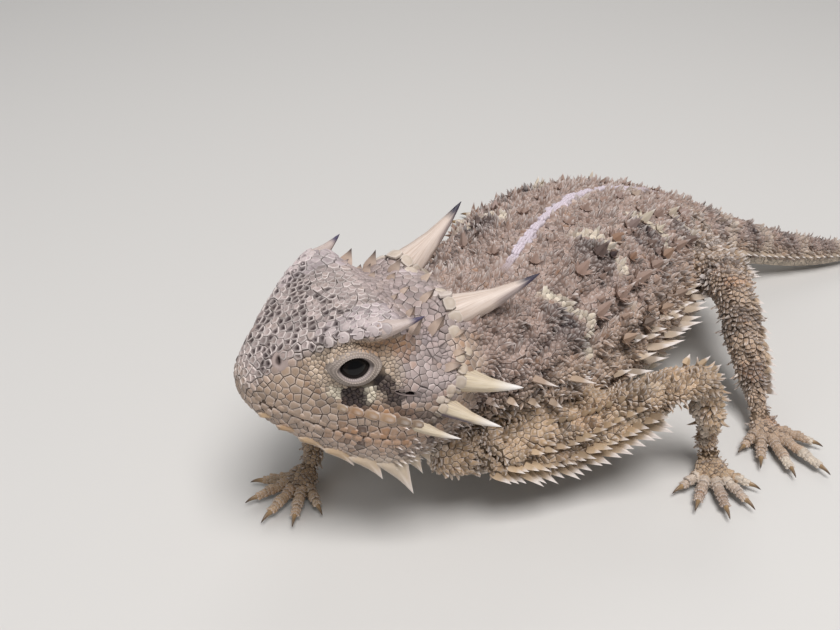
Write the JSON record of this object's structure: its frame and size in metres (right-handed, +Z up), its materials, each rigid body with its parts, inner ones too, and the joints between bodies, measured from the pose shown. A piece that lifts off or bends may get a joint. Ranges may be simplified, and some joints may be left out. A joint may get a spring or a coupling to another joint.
{
  "type": "horned lizard",
  "caption": "Life-size still model of a horned lizard standing with its head raised and turned, with crown horns, side fringe, back spines and splayed toes.",
  "frame": {"origin": "middle of the model's box, on the floor that it stands on", "axes": "+X from the head towards the tail, +Y to the animal's right side, +Z up"},
  "size_m": [0.0988, 0.0682, 0.0266],
  "materials": {
    "skin": "dry matte scales, sandy brown with dark blotches",
    "horn": "streaked cream horn with dark tips",
    "eye": "wet dark eye"
  },
  "bodies": {
    "root": {"eye_left": "eye", "eye_right": "eye", "foot_left": "skin", "foot_right": "skin", "forearm_left": "skin", "forearm_right": "skin", "hand_left": "skin", "hand_right": "skin", "head": "skin", "horn_brow_left": "horn", "horn_brow_right": "horn", "horn_occipital_left": "horn", "horn_occipital_right": "horn", "horn_temporal_1_left": "horn", "horn_temporal_1_right": "horn", "horn_temporal_2_left": "horn", "horn_temporal_2_right": "horn", "horn_temporal_3_left": "horn", "horn_temporal_3_right": "horn", "neck": "skin", "shin_left": "skin", "shin_right": "skin", "tail_base": "skin", "tail_tip": "skin", "thigh_left": "skin", "thigh_right": "skin", "torso": "skin", "upper_arm_left": "skin", "upper_arm_right": "skin"}
  },
  "joints": []
}
